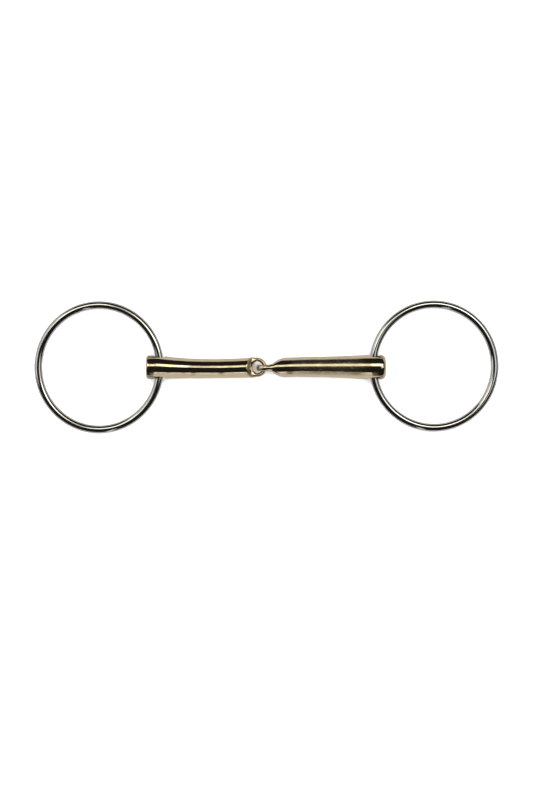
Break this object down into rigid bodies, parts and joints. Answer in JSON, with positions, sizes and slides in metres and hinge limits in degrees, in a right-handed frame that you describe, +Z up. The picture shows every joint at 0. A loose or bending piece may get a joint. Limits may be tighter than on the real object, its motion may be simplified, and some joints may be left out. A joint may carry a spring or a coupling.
{
  "type": "snaffle bit",
  "caption": "Loose-ring snaffle bit: two tapered metal cannons linked by interlocked eyes, with a round-wire ring running through each outer end.",
  "frame": {"origin": "on the surface the bit lies on, under the middle of its length and width", "axes": "+X along the mouthpiece from the left ring to the right ring, +Y across the bit in the plane it lies in, +Z up from the surface"},
  "size_m": [0.2844, 0.0794, 0.0153],
  "materials": {
    "stainless_ring_wire": "mirror-polished stainless steel wire",
    "copper_alloy_mouthpiece": "mirror-polished copper alloy casting"
  },
  "bodies": {
    "left_cannon": {"left_cannon": "copper_alloy_mouthpiece"},
    "right_cannon": {"right_cannon": "copper_alloy_mouthpiece"},
    "left_ring": {"left_ring": "stainless_ring_wire"},
    "right_ring": {"right_ring": "stainless_ring_wire"}
  },
  "joints": [
    {"name": "mouth_fold", "type": "hinge", "parent": "left_cannon", "child": "right_cannon", "pos_m": [-0.0059, 0, 0.00766], "axis": [0, 0, 1], "range_deg": [-90, 90]},
    {"name": "left_ring_swing", "type": "hinge", "parent": "left_cannon", "child": "left_ring", "pos_m": [-0.06565, 0, 0.00766], "axis": [0, 1, 0], "range_deg": [-120, 120]},
    {"name": "right_ring_swing", "type": "hinge", "parent": "right_cannon", "child": "right_ring", "pos_m": [0.06565, 0, 0.00766], "axis": [0, -1, 0], "range_deg": [-120, 120]}
  ]
}
